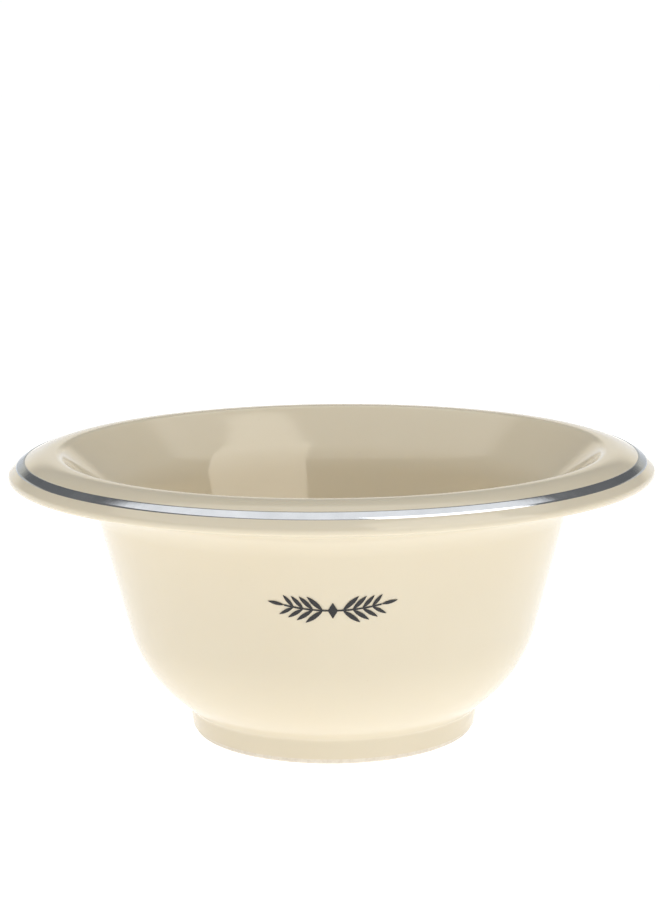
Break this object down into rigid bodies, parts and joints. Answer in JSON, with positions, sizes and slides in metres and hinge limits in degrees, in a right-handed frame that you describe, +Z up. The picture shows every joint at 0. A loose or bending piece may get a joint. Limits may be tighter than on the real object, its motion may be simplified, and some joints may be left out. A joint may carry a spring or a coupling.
{
  "type": "shaving bowl",
  "caption": "Round porcelain shaving bowl with a wide flared rim, a lustre band, a small printed leaf sprig and a low foot ring.",
  "frame": {"origin": "centre of the resting face of the foot ring, on the table", "axes": "+Z up along the bowl's axis; -Y towards the printed front"},
  "size_m": [0.13, 0.13, 0.058],
  "materials": {
    "porcelain": "fired porcelain, covered by the glaze",
    "dry_porcelain": "bare fired porcelain, matte, slightly ground on the resting face",
    "ivory_glaze": "glossy ivory glaze",
    "inside_glaze": "glossy ivory glaze, poured inside",
    "silver_lustre": "polished platinum-coloured lustre",
    "print_ink": "fired dark print, slightly less glossy than the glaze"
  },
  "bodies": {
    "root": {"bowl_body": "porcelain", "foot_ring": "dry_porcelain", "outer_glaze": "ivory_glaze", "inner_glaze": "inside_glaze", "base_glaze": "ivory_glaze", "lustre_band": "silver_lustre", "sprig_print": "print_ink"}
  },
  "joints": []
}
